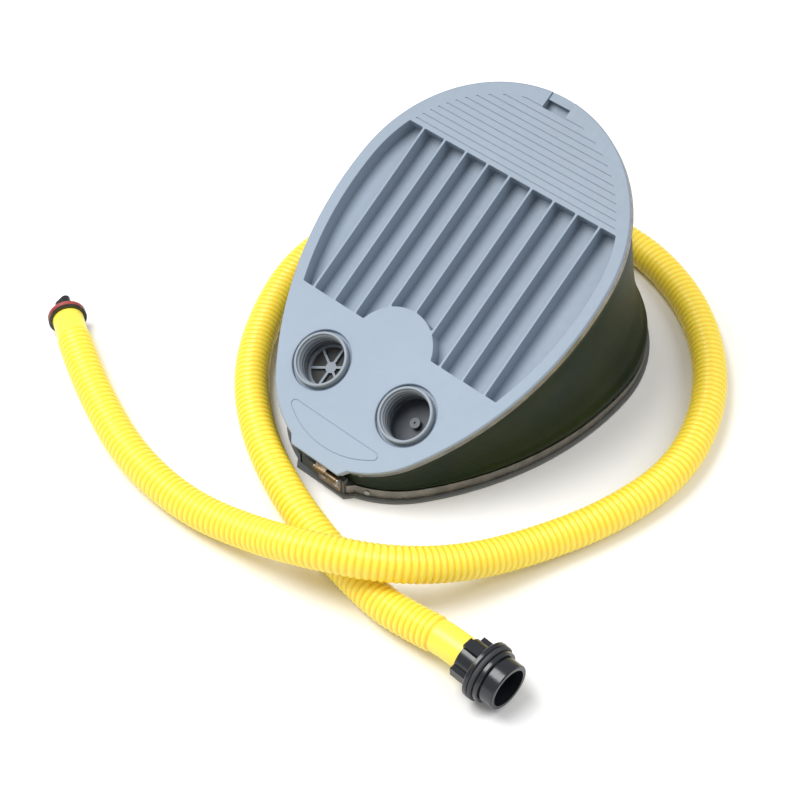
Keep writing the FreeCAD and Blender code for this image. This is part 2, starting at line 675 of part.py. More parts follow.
def hose_path(route):
    """Straight runs joined by the largest tangent arcs that the runs allow."""
    points = [Vector(*point) for point in route]
    edges = []
    radii = []
    start = points[0]
    for before, corner, after in zip(points, points[1:], points[2:]):
        run_in = corner - before
        run_out = after - corner
        reach = 0.45 * min(run_in.Length, run_out.Length)
        turn = run_in.getAngle(run_out)
        radii.append(reach / math.tan(turn / 2))
        arc_start = corner - run_in.normalize() * reach
        arc_end = corner + run_out.normalize() * reach
        inward = (arc_start + arc_end) * 0.5 - corner
        sagitta = radii[-1] * (1 / math.cos(turn / 2) - 1)
        middle = corner + inward.normalize() * sagitta
        edges.append(Part.LineSegment(start, arc_start).toShape())
        edges.append(Part.Arc(arc_start, middle, arc_end).toShape())
        start = arc_end
    edges.append(Part.LineSegment(start, points[-1]).toShape())
    return Part.Wire(edges), radii


def swept(path, radius):
    first = path.Edges[0]
    start = first.valueAt(first.FirstParameter)
    ring = Part.Wire(Part.Circle(start, first.tangentAt(first.FirstParameter), radius).toShape())
    return path.makePipeShell([ring], True, True)


def hose():
    path, radii = hose_path(HOSE_ROUTE)
    solid = swept(path, HOSE_RADIUS).cut(swept(path, HOSE_BORE))
    section = math.pi * (HOSE_RADIUS ** 2 - HOSE_BORE ** 2)
    print("hose length %.0f mm, radii %s" % (path.Length, [round(r) for r in radii]))
    print("hose volume / (section x length) = %.4f" % (solid.Volume / (section * path.Length)))
    return solid


def hose_end(first, second):
    """Where a fitting starts, and the way it points out of the hose."""
    end = Vector(*first)
    outward = (end - Vector(*second)).normalize()
    level = Vector(outward.x, outward.y, 0).normalize()
    return end, level


def turned(profile, start, outward):
    """Turn a profile of (distance along, radius) pairs about a hose end's axis."""
    points = [Vector(radius, 0, along) for along, radius in profile]
    points.append(points[0])
    face = Part.Face(Part.makePolygon(points))
    solid = face.revolve(Vector(0, 0, 0), Z_AXIS, 360)
    solid.Placement = FreeCAD.Placement(start, Rotation(Z_AXIS, outward))
    return solid


def fitted(shape, start, outward):
    """Move a shape drawn up the Z axis to a hose end."""
    placed = shape.copy()
    placed.Placement = FreeCAD.Placement(start, Rotation(Z_AXIS, outward)).multiply(placed.Placement)
    return placed


def pump_end_connector():
    """Screw connector: a lugged grip, a flange, a seat, a ring and a plain nose with an open bore."""
    start, outward = hose_end(HOSE_ROUTE[0], HOSE_ROUTE[1])
    flange_end = GRIP_LENGTH + 3.2
    seat_end = flange_end + 3.6
    ring_end = seat_end + 3.4
    nose_start = ring_end + 1.0
    profile = [
        (0, 0), (0, GRIP_RADIUS), (GRIP_LENGTH, GRIP_RADIUS),
        (GRIP_LENGTH, CONNECTOR_FLANGE - 0.6), (GRIP_LENGTH + 0.6, CONNECTOR_FLANGE),
        (flange_end - 0.6, CONNECTOR_FLANGE), (flange_end, CONNECTOR_FLANGE - 0.6),
        (flange_end, GASKET_SEAT), (seat_end, GASKET_SEAT), (seat_end, CONNECTOR_RING - 0.6),
        (seat_end + 0.6, CONNECTOR_RING), (ring_end - 0.6, CONNECTOR_RING),
        (ring_end, CONNECTOR_RING - 0.6), (ring_end, CONNECTOR_NOSE - 0.9),
        (nose_start, CONNECTOR_NOSE - 0.9), (nose_start, CONNECTOR_NOSE),
        (CONNECTOR_LENGTH - 0.7, CONNECTOR_NOSE), (CONNECTOR_LENGTH, CONNECTOR_NOSE - 0.7),
        (CONNECTOR_LENGTH, CONNECTOR_BORE), (GRIP_LENGTH + 1, CONNECTOR_BORE), (GRIP_LENGTH + 1, 0),
    ]
    body = turned(profile, start, outward)
    lugs = []
    for index in range(GRIP_LUGS):
        half = GRIP_LUG_WIDTH / 2
        lug = block(GRIP_RADIUS - 2, GRIP_LUG_RADIUS, -half, half, 0, GRIP_LENGTH + 0.5)
        lug.rotate(Vector(0, 0, 0), Z_AXIS, 360 / GRIP_LUGS * index)
        lugs.append(fitted(lug, start, outward))
    return joined([body] + lugs)


def pump_end_gasket():
    start, outward = hose_end(HOSE_ROUTE[0], HOSE_ROUTE[1])
    low = GRIP_LENGTH + 3.3
    high = low + 3.2
    inner = GASKET_SEAT + 0.05
    outer = CONNECTOR_FLANGE - 0.2
    profile = [(low, inner), (low, outer - 1.0), (low + 0.8, outer), (high - 0.8, outer),
               (high, outer - 1.0), (high, inner)]
    return turned(profile, start, outward)


def oval(length, width, z0, z1):
    """Solid with straight sides and round ends."""
    half = width / 2
    reach = length / 2 - half
    sides = block(-reach, reach, -half, half, z0, z1)
    return joined([sides, rod(half, z0, z1, -reach), rod(half, z0, z1, reach)])


def valve_end_adaptor():
    """Bayonet plug: a flange, a seat for the O-ring, a disc, a neck and an oval head with a hole."""
    start, outward = hose_end(HOSE_ROUTE[-1], HOSE_ROUTE[-2])
    profile = [
        (0, 0), (0, ADAPTOR_FLANGE - 0.3), (0.3, ADAPTOR_FLANGE), (1.3, ADAPTOR_FLANGE),
        (1.6, ADAPTOR_FLANGE - 0.3), (1.6, ADAPTOR_SEAT), (6.4, ADAPTOR_SEAT), (6.4, 10.8),
        (7.6, 10.8), (8.6, 9.8), (8.6, ADAPTOR_NECK), (14.0, ADAPTOR_NECK), (14.0, 0),
    ]
    body = turned(profile, start, outward)
    head = oval(ADAPTOR_HEAD_LENGTH, ADAPTOR_HEAD_WIDTH, 13.0, 20.4)
    head = head.makeFillet(1.0, edges_at_height(head, 20.4))
    head.rotate(Vector(0, 0, 0), Z_AXIS, ADAPTOR_HEAD_TURN)
    hole = fitted(rod(ADAPTOR_HOLE, 4.0, 21.0), start, outward)
    return joined([body, fitted(head, start, outward)]).cut(hole)


def valve_end_o_ring():
    start, outward = hose_end(HOSE_ROUTE[-1], HOSE_ROUTE[-2])
    ring = Part.makeTorus(ADAPTOR_SEAT + O_RING + 0.05, O_RING)
    ring.translate(Vector(0, 0, 4.0))
    return fitted(ring, start, outward)


def nodes():
    base_rivets = on_base(band_rivets(BASE_INSET, (SKIN + BASE_RIM_HEIGHT) / 2))
    top_rivets = on_board(band_rivets(0, -(SKIN + BOARD_RIM_DEPTH) / 2))
    base_screws = at_pin(beside(leaf_screws(BASE_LEAF_FACE, BASE_LEAF_SCREWS)))
    top_screws = on_board(beside(top_leaf_screws()))
    return {
        "base_plate": on_base(base_plate()).cut(base_rivets).cut(base_screws),
        "base_clamp_band": on_base(base_band()).cut(base_rivets),
        "base_band_rivets": base_rivets,
        "hinge_leaf_base": at_pin(beside(base_leaf())),
        "hinge_screws_base": base_screws,
        "hinge_pin": at_pin(beside(hinge_pin())),
        "bellows": bellows().cut(base_rivets).cut(top_rivets),
        "spring": spring(),
        "latch_hook": latch_hook(),
        "latch_pin": latch_pin(),
        "footboard": on_board(footboard()).cut(top_rivets).cut(top_screws),
        "top_clamp_band": on_board(top_band()).cut(top_rivets),
        "top_band_rivets": top_rivets,
        "hinge_leaf_top": on_board(beside(top_leaf())),
        "hinge_screws_top": top_screws,
        "intake_port": on_board(port_sleeve(-PORT_SIDE)),
        "outlet_port": on_board(port_sleeve(PORT_SIDE)),
        "intake_spider": on_board(spider(-PORT_SIDE, INTAKE_SEAT_TOP)),
        "intake_flap": on_board(flap(-PORT_SIDE, INTAKE_FLAP_LOW)),
        "intake_flap_pin": on_board(intake_pin()),
        "outlet_seat": on_board(spider(PORT_SIDE, OUTLET_SEAT_TOP)),
        "outlet_flap": on_board(flap(PORT_SIDE, OUTLET_FLAP_LOW)),
        "outlet_flap_pin": on_board(outlet_pin()),
        "hose": hose(),
        "pump_end_connector": pump_end_connector(),
        "pump_end_gasket": pump_end_gasket(),
        "valve_end_adaptor": valve_end_adaptor(),
        "valve_end_o_ring": valve_end_o_ring(),
    }


os.makedirs("parts", exist_ok=True)
for name, shape in nodes().items():
    shape.exportStep(os.path.join("parts", name + ".step"))
    print("%-20s valid %s solids %d volume %.1f cm3" % (
        name, shape.isValid(), len(shape.Solids), shape.Volume / 1000))
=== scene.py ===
import math

import bpy
from mathutils import Matrix, Vector, noise as field


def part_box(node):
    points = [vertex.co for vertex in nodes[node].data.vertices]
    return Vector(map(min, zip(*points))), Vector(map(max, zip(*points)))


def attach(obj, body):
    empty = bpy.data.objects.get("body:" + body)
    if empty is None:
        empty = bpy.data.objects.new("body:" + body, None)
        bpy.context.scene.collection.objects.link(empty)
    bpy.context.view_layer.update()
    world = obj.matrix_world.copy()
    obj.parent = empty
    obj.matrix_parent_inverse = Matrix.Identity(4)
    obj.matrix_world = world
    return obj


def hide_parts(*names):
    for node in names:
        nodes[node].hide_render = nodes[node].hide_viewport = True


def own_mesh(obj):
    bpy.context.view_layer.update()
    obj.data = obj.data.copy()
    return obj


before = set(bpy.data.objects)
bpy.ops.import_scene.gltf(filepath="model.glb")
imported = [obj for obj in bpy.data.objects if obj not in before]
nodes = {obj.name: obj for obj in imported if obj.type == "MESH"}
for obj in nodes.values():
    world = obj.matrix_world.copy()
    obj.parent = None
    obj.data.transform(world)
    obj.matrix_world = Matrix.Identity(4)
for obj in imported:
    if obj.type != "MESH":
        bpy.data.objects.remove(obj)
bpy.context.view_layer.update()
scene = bpy.context.scene

# ---------------------------------------------------------------- dimensions, in metres
MM = 0.001

# The hinge pin lies this far ahead of the outline's nose and below the footboard's top.
PIN_AHEAD = 3.0 * MM
PIN_BELOW = 11.0 * MM
OPEN_ANGLE = math.radians(32.0)

# Egg outline: nose circle, rear circle and two side circles.
LENGTH = 290.0 * MM
REAR_RADIUS = 105.3 * MM
NOSE_RADIUS = 74.8 * MM
SIDE_RADIUS = 236.3 * MM
NOSE_CENTRE = 76.1 * MM
REAR_CENTRE = LENGTH - REAR_RADIUS
SIDE_REACH = SIDE_RADIUS - REAR_RADIUS
NOSE_REACH = SIDE_RADIUS - NOSE_RADIUS
SIDE_CENTRE = (
    (NOSE_REACH ** 2 - SIDE_REACH ** 2 + REAR_CENTRE ** 2 - NOSE_CENTRE ** 2)
    / (2 * (REAR_CENTRE - NOSE_CENTRE))
)
SIDE_OFFSET = math.sqrt(SIDE_REACH ** 2 - (SIDE_CENTRE - REAR_CENTRE) ** 2)
FRONT_STEPS = 10
NOSE_STEPS = 30
SIDE_STEPS = 64
REAR_STEPS = 56
OUTLINE_SMOOTHINGS = 6

# Bellows cloth between the two clamp bands.
BASE_INSET = 1.0 * MM
BAND = 1.2 * MM
FABRIC_FRONT = 6.0 * MM
BASE_RIM_HEIGHT = 10.8 * MM
BOARD_RIM_DEPTH = 7.6 * MM
CLOTH = 0.8 * MM
CLOTH_ROWS = 28
FULL_HEIGHT = 60.0 * MM
WRINKLE = 0.7 * MM
BROAD_WRINKLES = 26.0
BROAD_STRENGTH = 0.7
FINE_WRINKLES = 61.0
FINE_STRENGTH = 0.5
FINE_CLIMB = 3.0
HEM_DEPTH = 3.0 * MM
HEM_HIDDEN = 5.0 * MM
HEM_SHORT = 0.3 * MM

# The cloth rolls out over the base band, draws in to a waist, and eases out towards the board.
# Each range is a share of the wall's height, 0 at the base and 1 at the board.
FOOT_ROLL = 2.0 * MM
ROLL_SHARE = 0.14
WAIST = 3.6 * MM
WAIST_RANGE = (0.06, 0.36)
WAIST_RELIEF = 1.8 * MM
RELIEF_RANGE = (0.40, 0.85)
TOP_HOLD = 1.2 * MM
HOLD_RANGE = (0.88, 1.0)

# Ports.
PORT_SIDE = 37.4 * MM
PORT_BACK = 57.0 * MM
PORT_RING = 19.2 * MM
PORT_RISE = 2.8 * MM
PORT_FOOT = 16.0 * MM
PORT_LIP = 0.8 * MM
THREAD_ROOT = 17.3 * MM
THREAD_CREST = 16.2 * MM
THREAD_PITCH = 4.2 * MM
THREAD_START = 0.5 * MM
THREAD_FLANK = (0.10, 0.22)
THREAD_FADE = (0.2 * MM, 1.4 * MM)
INNER_ROUND = 0.4 * MM
ROUND_STEPS = 4
THREAD_STEPS = 76
PORT_SIDES = 96

# Coil spring between base and board, wound round the hinge's own arc. SPRING_SEAT turns lie flat
# at each end.
SPRING_BACK = 168.0 * MM
SPRING_RADIUS = 26.0 * MM
SPRING_WIRE = 1.5 * MM
SPRING_TURNS = 6
SPRING_SEAT = 0.5
SPRING_FOOT = 2.4 * MM
SPRING_TOP = 14.0 * MM
SPRING_GAP = 0.3 * MM
SPRING_SIDES = 12
SPRING_STEPS = 32

# Hose.
HOSE_RADIUS = 12.0 * MM
HOSE_CUFF = 11.0 * MM
HOSE_PITCH = 4.4 * MM
HOSE_GROOVE = 0.9 * MM
HOSE_SIDES = 36
HOSE_STEP = HOSE_PITCH / 10
HOSE_LINE_STEPS = 24
RING_SHARPNESS = 0.45
CUFF_AT_PUMP = 22.0 * MM
CUFF_AT_VALVE = 18.0 * MM
HOSE_ROUTE_MM = [
    (171.8, -200.9, 19.8), (154, -200.1, 19.8), (130, -201.8, 15.6), (102, -202.4, 12.4),
    (56, -195, 12.2), (0, -179, 12.2), (-54, -153, 12.2), (-99, -116, 12.2), (-130, -68, 12.2),
    (-150, -16, 12.2), (-150, 34, 12.2), (-127, 84, 12.2), (-87, 128, 12.2), (-40, 160, 12.2),
    (18, 170, 12.2), (75, 153, 12.2), (123, 118, 12.2), (158, 70, 12.2), (176, 10, 12.2),
    (167, -50, 12.2), (146, -105, 14), (127, -154, 26), (101, -193, 39.5), (60, -215, 39.5),
    (10, -222, 21), (-44, -229, 12.2), (-101, -224, 12.2), (-156, -204, 12.2),
    (-203.5, -181.1, 13.8), (-229.5, -166.3, 13.8),
]

pin_low, pin_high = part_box("hinge_pin")
PIN_Y = (pin_low[1] + pin_high[1]) / 2
PIN_Z = (pin_low[2] + pin_high[2]) / 2
PIN = Vector((0, PIN_Y, PIN_Z))
TO_BOARD = (
    Matrix.Translation(PIN)
    @ Matrix.Rotation(OPEN_ANGLE, 4, "X")
    @ Matrix.Translation((0, PIN_AHEAD, PIN_BELOW))
)
TO_BASE = Matrix.Translation((0, PIN_Y + PIN_AHEAD, 0))
BOARD_UP = Vector((0, -math.sin(OPEN_ANGLE), math.cos(OPEN_ANGLE)))
MIDWAY_UP = Vector((0, -math.sin(OPEN_ANGLE / 2), math.cos(OPEN_ANGLE / 2)))


# ---------------------------------------------------------------- camera and light
LENS_MM = 85.74
SENSOR_MM = 36.0
CAMERA_PLACE = (0.5882, -0.7297, 0.9605)
CAMERA_DEGREES = (43.167, -0.169, 41.896)
LIGHT_TARGET = Vector((0, 0, 0.05))
WORLD_STRENGTH = 0.52
FLOOR_SIZE = 8.0
FLOOR_COLOUR = (0.93, 0.93, 0.93)


def add_camera():
    data = bpy.data.cameras.new("camera")
    data.lens = LENS_MM
    data.sensor_width = SENSOR_MM
    camera = bpy.data.objects.new("camera", data)
    camera.location = CAMERA_PLACE
    camera.rotation_euler = [math.radians(degrees) for degrees in CAMERA_DEGREES]
    scene.collection.objects.link(camera)
    scene.camera = camera


def add_light(name, location, size, watts):
    data = bpy.data.lights.new(name, "AREA")
    data.shape = "DISK"
    data.size = size
    data.energy = watts
    light = bpy.data.objects.new(name, data)
    light.location = location
    light.rotation_euler = (LIGHT_TARGET - Vector(location)).to_track_quat("-Z", "Y").to_euler()
    scene.collection.objects.link(light)


def add_studio():
    world = bpy.data.worlds.new("studio")
    world.use_nodes = True
    background = world.node_tree.nodes["Background"]
    background.inputs["Color"].default_value = (1, 1, 1, 1)
    background.inputs["Strength"].default_value = WORLD_STRENGTH
    scene.world = world
    add_light("key", (-0.62, -0.62, 1.85), size=1.3, watts=36)
    add_light("fill", (1.0, 0.45, 1.5), size=1.2, watts=9)
    scene.view_settings.view_transform = "Standard"
    bpy.ops.mesh.primitive_plane_add(size=FLOOR_SIZE, location=(0, 0, 0))
    floor = bpy.context.object
    floor.name = "floor"
    floor.data.materials.append(new_material("floor", FLOOR_COLOUR, roughness=0.9)[0])


# ---------------------------------------------------------------- material helpers
def new_material(name, colour, roughness, metallic=0.0, specular=0.5):
    material = bpy.data.materials.new(name)
    material.use_nodes = True
    tree = material.node_tree
    shader = tree.nodes["Principled BSDF"]
    shader.inputs["Base Color"].default_value = (*colour, 1)
    shader.inputs["Roughness"].default_value = roughness
    shader.inputs["Metallic"].default_value = metallic
    shader.inputs["Specular IOR Level"].default_value = specular
    return material, tree, shader


def object_coordinates(tree):
    return tree.nodes.new("ShaderNodeTexCoord").outputs["Object"]


def noise(tree, scale, detail):
    node = tree.nodes.new("ShaderNodeTexNoise")
    node.inputs["Scale"].default_value = scale
    node.inputs["Detail"].default_value = detail
    tree.links.new(object_coordinates(tree), node.inputs["Vector"])
    return node.outputs["Fac"]


def attribute(tree, name):
    """Value of a mesh attribute."""
    node = tree.nodes.new("ShaderNodeAttribute")
    node.attribute_name = name
    return node.outputs["Fac"]


def ramp(tree, value, stops):
    """Colour ramp; stops are (position, colour)."""
    node = tree.nodes.new("ShaderNodeValToRGB")
    while len(node.color_ramp.elements) < len(stops):
        node.color_ramp.elements.new(0.5)
    for element, (position, colour) in zip(node.color_ramp.elements, stops):
        element.position = position
        element.color = (*colour, 1)
    tree.links.new(value, node.inputs["Fac"])
    return node.outputs["Color"]


def darken(tree, colour, share):
    """The colour mixed with black by the share."""
    node = tree.nodes.new("ShaderNodeMix")
    node.data_type = "RGBA"
    factor, first, second = node.inputs[0], node.inputs[6], node.inputs[7]
    tree.links.new(share, factor)
    tree.links.new(colour, first)
    second.default_value = (0, 0, 0, 1)
    return node.outputs[2]


def bumps(tree, shader, scale, detail, strength, depth, over=None):
    """Noise bumps, which may lie over coarser ones."""
    node = tree.nodes.new("ShaderNodeBump")
    node.inputs["Strength"].default_value = strength
    node.inputs["Distance"].default_value = depth
    tree.links.new(noise(tree, scale, detail), node.inputs["Height"])
    if over is not None:
        tree.links.new(over, node.inputs["Normal"])
    tree.links.new(node.outputs["Normal"], shader.inputs["Normal"])
    return node.outputs["Normal"]


def range_of(tree, value, low, high, out_low, out_high):
    node = tree.nodes.new("ShaderNodeMapRange")
    node.inputs["From Min"].default_value = low
    node.inputs["From Max"].default_value = high
    node.inputs["To Min"].default_value = out_low
    node.inputs["To Max"].default_value = out_high
    tree.links.new(value, node.inputs["Value"])
    return node.outputs["Result"]


def vary_gloss(tree, shader, scale, low, high):
    """Roughness that drifts between low and high over the surface."""
    drift = range_of(tree, noise(tree, scale, detail=3.0), *NOISE_BAND, low, high)
    tree.links.new(drift, shader.inputs["Roughness"])


def spread(colour, share):
    """A darker and a lighter tone of one colour."""
    low = tuple(c * (1 - share) for c in colour)
    high = tuple(min(1.0, c * (1 + share)) for c in colour)
    return low, high


# ---------------------------------------------------------------- materials
NOISE_BAND = (0.3, 0.7)
HOSE_YELLOW = (0.95, 0.72, 0.07)
PORT_COLOUR = (0.25, 0.29, 0.335)
# Painted shade in the port bores: their colour falls to this share of the plastic's at the foot.
BORE_SHADE_SHARE = 0.34
PLASTIC_TINT = 0.02
METAL_TINT = 0.2
# Painted shade on the board runs from this height at the nose to that one at the heel.
HEEL_SHADE_FROM = 30 * MM
HEEL_SHADE_TO = 165 * MM


def plastic(name, colour, roughness, specular=0.4, heel_shade=0.0):
    """Moulded plastic: very faint cloudiness, fine grain, small changes in gloss.

    The last argument paints shade: it darkens the colour by that share from the low nose to the
    raised heel, standing in for the light falling off along the board.
    """
    material, tree, shader = new_material(name, colour, roughness, specular=specular)
    low, high = spread(colour, PLASTIC_TINT)
    cloud = noise(tree, scale=14.0, detail=3.0)
    tone = ramp(tree, cloud, [(0.35, low), (0.65, high)])
    # Painted shade: darker towards the raised heel, as if the light fell off along the board.
    if heel_shade:
        split = tree.nodes.new("ShaderNodeSeparateXYZ")
        tree.links.new(object_coordinates(tree), split.inputs["Vector"])
        share = range_of(tree, split.outputs["Z"], HEEL_SHADE_FROM, HEEL_SHADE_TO, 0.0, heel_shade)
        tone = darken(tree, tone, share)
    tree.links.new(tone, shader.inputs["Base Color"])
    vary_gloss(tree, shader, scale=220.0, low=roughness - 0.02, high=roughness + 0.03)
    bumps(tree, shader, scale=1500.0, detail=2.0, strength=0.12, depth=0.2 * MM)
    return material


def metal(name, colour, roughness):
    """Metal with faint stains and a fine grain."""
    material, tree, shader = new_material(name, colour, roughness, metallic=1.0)
    low, high = spread(colour, METAL_TINT)
    patches = noise(tree, scale=90.0, detail=5.0)
    tree.links.new(ramp(tree, patches, [(0.35, low), (0.65, high)]), shader.inputs["Base Color"])
    vary_gloss(tree, shader, scale=400.0, low=roughness * 0.7, high=roughness * 1.4)
    bumps(tree, shader, scale=900.0, detail=2.0, strength=0.08, depth=0.2 * MM)
    return material


def rubber(name, colour, roughness=0.6):
    """Rubber with a little pale dust on a fine grain."""
    material, tree, shader = new_material(name, colour, roughness)
    dust = noise(tree, scale=120.0, detail=4.0)
    high = tuple(c + 0.02 for c in colour)
    tree.links.new(ramp(tree, dust, [(0.45, colour), (0.75, high)]), shader.inputs["Base Color"])
    bumps(tree, shader, scale=1200.0, detail=3.0, strength=0.15, depth=0.3 * MM)
    return material


def coated_cloth():
    """Coated cloth: fine grain under a satin coat with soft creases, olive in patches."""
    dark = (0.004, 0.015, 0.008)
    olive = (0.018, 0.028, 0.006)
    material, tree, shader = new_material("bellows_cloth", dark, 0.48, specular=0.12)
    patches = noise(tree, scale=16.0, detail=4.0)
    tree.links.new(ramp(tree, patches, [(0.35, dark), (0.75, olive)]), shader.inputs["Base Color"])
    creases = bumps(tree, shader, scale=45.0, detail=3.0, strength=0.25, depth=1.5 * MM)
    bumps(tree, shader, scale=2400.0, detail=1.0, strength=0.25, depth=0.2 * MM, over=creases)
    return material


def hose_plastic():
    """Yellow soft plastic with painted light: a painted highlight pales the crests of the rings, and
    painted shade makes the grooves darker and more orange.
    """
    # Painted shade for the grooves, a middle tone for the flanks, and a painted highlight for the
    # crests.
    groove = (0.97, 0.57, 0.020)
    flank = (0.98, 0.71, 0.045)
    crest = (0.99, 0.81, 0.090)
    material, tree, shader = new_material("hose_plastic", HOSE_YELLOW, 0.33)
    shader.inputs["Subsurface Weight"].default_value = 0.15
    shader.inputs["Subsurface Radius"].default_value = (0.006, 0.004, 0.001)
    shader.inputs["Subsurface Scale"].default_value = 1.0
    colour = ramp(tree, attribute(tree, "crest"), [(0.0, groove), (0.5, flank), (1.0, crest)])
    tree.links.new(colour, shader.inputs["Base Color"])
    bumps(tree, shader, scale=500.0, detail=2.0, strength=0.05, depth=0.3 * MM)
    return material


def port_plastic():
    """Socket plastic: a grey ring with painted shade that darkens it down the bore."""
    material, tree, shader = new_material("port_plastic", PORT_COLOUR, 0.38, specular=0.4)
    bore_shade = tuple(c * BORE_SHADE_SHARE for c in PORT_COLOUR)
    colour = ramp(tree, attribute(tree, "down"), [(0.0, PORT_COLOUR), (0.22, PORT_COLOUR), (0.75, bore_shade)])
    tree.links.new(colour, shader.inputs["Base Color"])
    bumps(tree, shader, scale=1500.0, detail=2.0, strength=0.1, depth=0.2 * MM)
    return material


# ---------------------------------------------------------------- mesh helpers
def new_piece(name, points, faces, material, body):
    """A smooth-shaded piece that rides on a body."""
    mesh = bpy.data.meshes.new(name)
    mesh.from_pydata([tuple(p) for p in points], [], faces)
    mesh.validate()
    piece = bpy.data.objects.new(name, mesh)
    scene.collection.objects.link(piece)
    mesh.materials.append(material)
    for polygon in mesh.polygons:
        polygon.use_smooth = True
    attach(piece, body)
    return piece


def grid_faces(rows, columns, closed_rows=False):
    """Faces of a grid whose columns run round in a ring, and whose rows may do so too."""
    faces = []
    for row in range(rows if closed_rows else rows - 1):
        below = row * columns
        above = (row + 1) % rows * columns
        for column in range(columns):
            after = (column + 1) % columns
            faces.append((below + column, below + after, above + after, above + column))
    return faces


def ease(value, low, high):
    """0 before low, 1 after high, and smooth between them."""
    share = min(max((value - low) / (high - low), 0.0), 1.0)
    return share * share * (3 - 2 * share)


def spots_along(points):
    """(distance, point, direction) for each point of a line."""
    spots = []
    distance = 0.0
    for index, point in enumerate(points):
        before = points[max(index - 1, 0)]
        after = points[min(index + 1, len(points) - 1)]
        if index:
            distance += (point - points[index - 1]).length
        spots.append((distance, point, (after - before).normalized()))
    return spots


def tube_mesh(spots, radius_at, around):
    """Points and faces of a closed tube along the spots."""
    normal = Vector((0, 0, 1))
    points = []
    for along, centre, direction in spots:
        normal = (normal - direction * normal.dot(direction)).normalized()
        side = direction.cross(normal)
        radius = radius_at(along)
        for index in range(around):
            angle = 2 * math.pi * index / around
            points.append(centre + (side * math.cos(angle) + normal * math.sin(angle)) * radius)
    faces = grid_faces(len(spots), around)
    faces.append(tuple(range(around - 1, -1, -1)))
    faces.append(tuple(range((len(spots) - 1) * around, len(spots) * around)))
    return points, faces


# ---------------------------------------------------------------- hose
def hose_centreline():
    """Points read from the smooth spline that has the route as its control points."""
    curve = bpy.data.curves.new("hose_line", "CURVE")
    curve.dimensions = "3D"
    curve.resolution_u = HOSE_LINE_STEPS
    spline = curve.splines.new("NURBS")
    spline.points.add(len(HOSE_ROUTE_MM) - 1)
    for point, place in zip(spline.points, HOSE_ROUTE_MM):
        point.co = (place[0] * MM, place[1] * MM, place[2] * MM, 1)
    spline.order_u = 3
    spline.use_endpoint_u = True
    line = bpy.data.objects.new("hose_line", curve)
    scene.collection.objects.link(line)
    bpy.context.view_layer.update()
    mesh = bpy.data.meshes.new_from_object(line)
    points = [vertex.co.copy() for vertex in mesh.vertices]
    bpy.data.objects.remove(line)
    return points


def evenly(points, step):
    """Points a step apart along a line, with its two ends."""
    places = []
    distance = 0.0
    target = 0.0
    for a, b in zip(points, points[1:]):
        run = (b - a).length
        while target <= distance + run and run > 0:
            places.append(a.lerp(b, (target - distance) / run))
            target += step
        distance += run
    if (places[-1] - points[-1]).length > step / 10:
        places.append(points[-1].copy())
    return places


def make_hose():
    line = hose_centreline()
    spots = spots_along(evenly(line, HOSE_STEP))
    total = spots[-1][0]

    def past_cuffs(along):
        """Distance from the nearer cuff, negative on a cuff."""
        return min(along - CUFF_AT_PUMP, total - CUFF_AT_VALVE - along)

    def crest_at(along):
        """1 on a ring's crest and on the plain cuffs, 0 in a groove; this places the hose's painted
        highlight and painted shade.
        """
        if past_cuffs(along) < 0:
            return 1.0
        return (0.5 + 0.5 * math.cos(2 * math.pi * past_cuffs(along) / HOSE_PITCH)) ** RING_SHARPNESS

    def radius_at(along):
        crest = HOSE_CUFF + (HOSE_RADIUS - HOSE_CUFF) * ease(past_cuffs(along), 0, HOSE_PITCH)
        return crest - HOSE_GROOVE * (1 - crest_at(along))

    points, faces = tube_mesh(spots, radius_at, HOSE_SIDES)
    piece = new_piece("corrugated_hose", points, faces, hose_plastic(), "base")
    # The crest mask, which places the painted highlight and painted shade on the hose.
    crest = [crest_at(spot[0]) for spot in spots for side in range(HOSE_SIDES)]
    piece.data.attributes.new("crest", "FLOAT", "POINT").data.foreach_set("value", crest)
    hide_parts("hose")


# ---------------------------------------------------------------- bellows
def arc_points(centre, radius, start, end, steps):
    """Points from start up to but not including end, on a circle."""
    first = math.atan2(start.y - centre.y, start.x - centre.x)
    turn = math.atan2(end.y - centre.y, end.x - centre.x) - first
    turn = (turn + math.pi) % (2 * math.pi) - math.pi
    angles = [first + turn * step / steps for step in range(steps)]
    return [centre + Vector((math.cos(a), math.sin(a))) * radius for a in angles]


def egg_ring(inset, front):
    """Places round the egg outline, cut straight across at front, each with its way outward."""
    nose = Vector((0, NOSE_CENTRE))
    rear = Vector((0, REAR_CENTRE))
    side = Vector((-SIDE_OFFSET, SIDE_CENTRE))
    nose_radius = NOSE_RADIUS - inset
    corner = Vector((math.sqrt(nose_radius ** 2 - (NOSE_CENTRE - front) ** 2), front))
    nose_join = nose + (nose - side).normalized() * nose_radius
    rear_join = rear + (rear - side).normalized() * (REAR_RADIUS - inset)
    top = Vector((0, LENGTH - inset))
    half = [Vector((corner.x * step / FRONT_STEPS, front)) for step in range(FRONT_STEPS)]
    half += arc_points(nose, nose_radius, corner, nose_join, NOSE_STEPS)
    half += arc_points(side, SIDE_RADIUS - inset, nose_join, rear_join, SIDE_STEPS)
    half += arc_points(rear, REAR_RADIUS - inset, rear_join, top, REAR_STEPS)
    points = half + [top] + [Vector((-p.x, p.y)) for p in reversed(half[1:])]
    count = len(points)
    for turn in range(OUTLINE_SMOOTHINGS):
        points = [(points[i - 1] + points[i] * 2 + points[(i + 1) % count]) / 4 for i in range(count)]
    ring = []
    for index, point in enumerate(points):
        along = points[(index + 1) % count] - points[index - 1]
        ring.append((point, Vector((along.y, -along.x)).normalized()))
    return ring


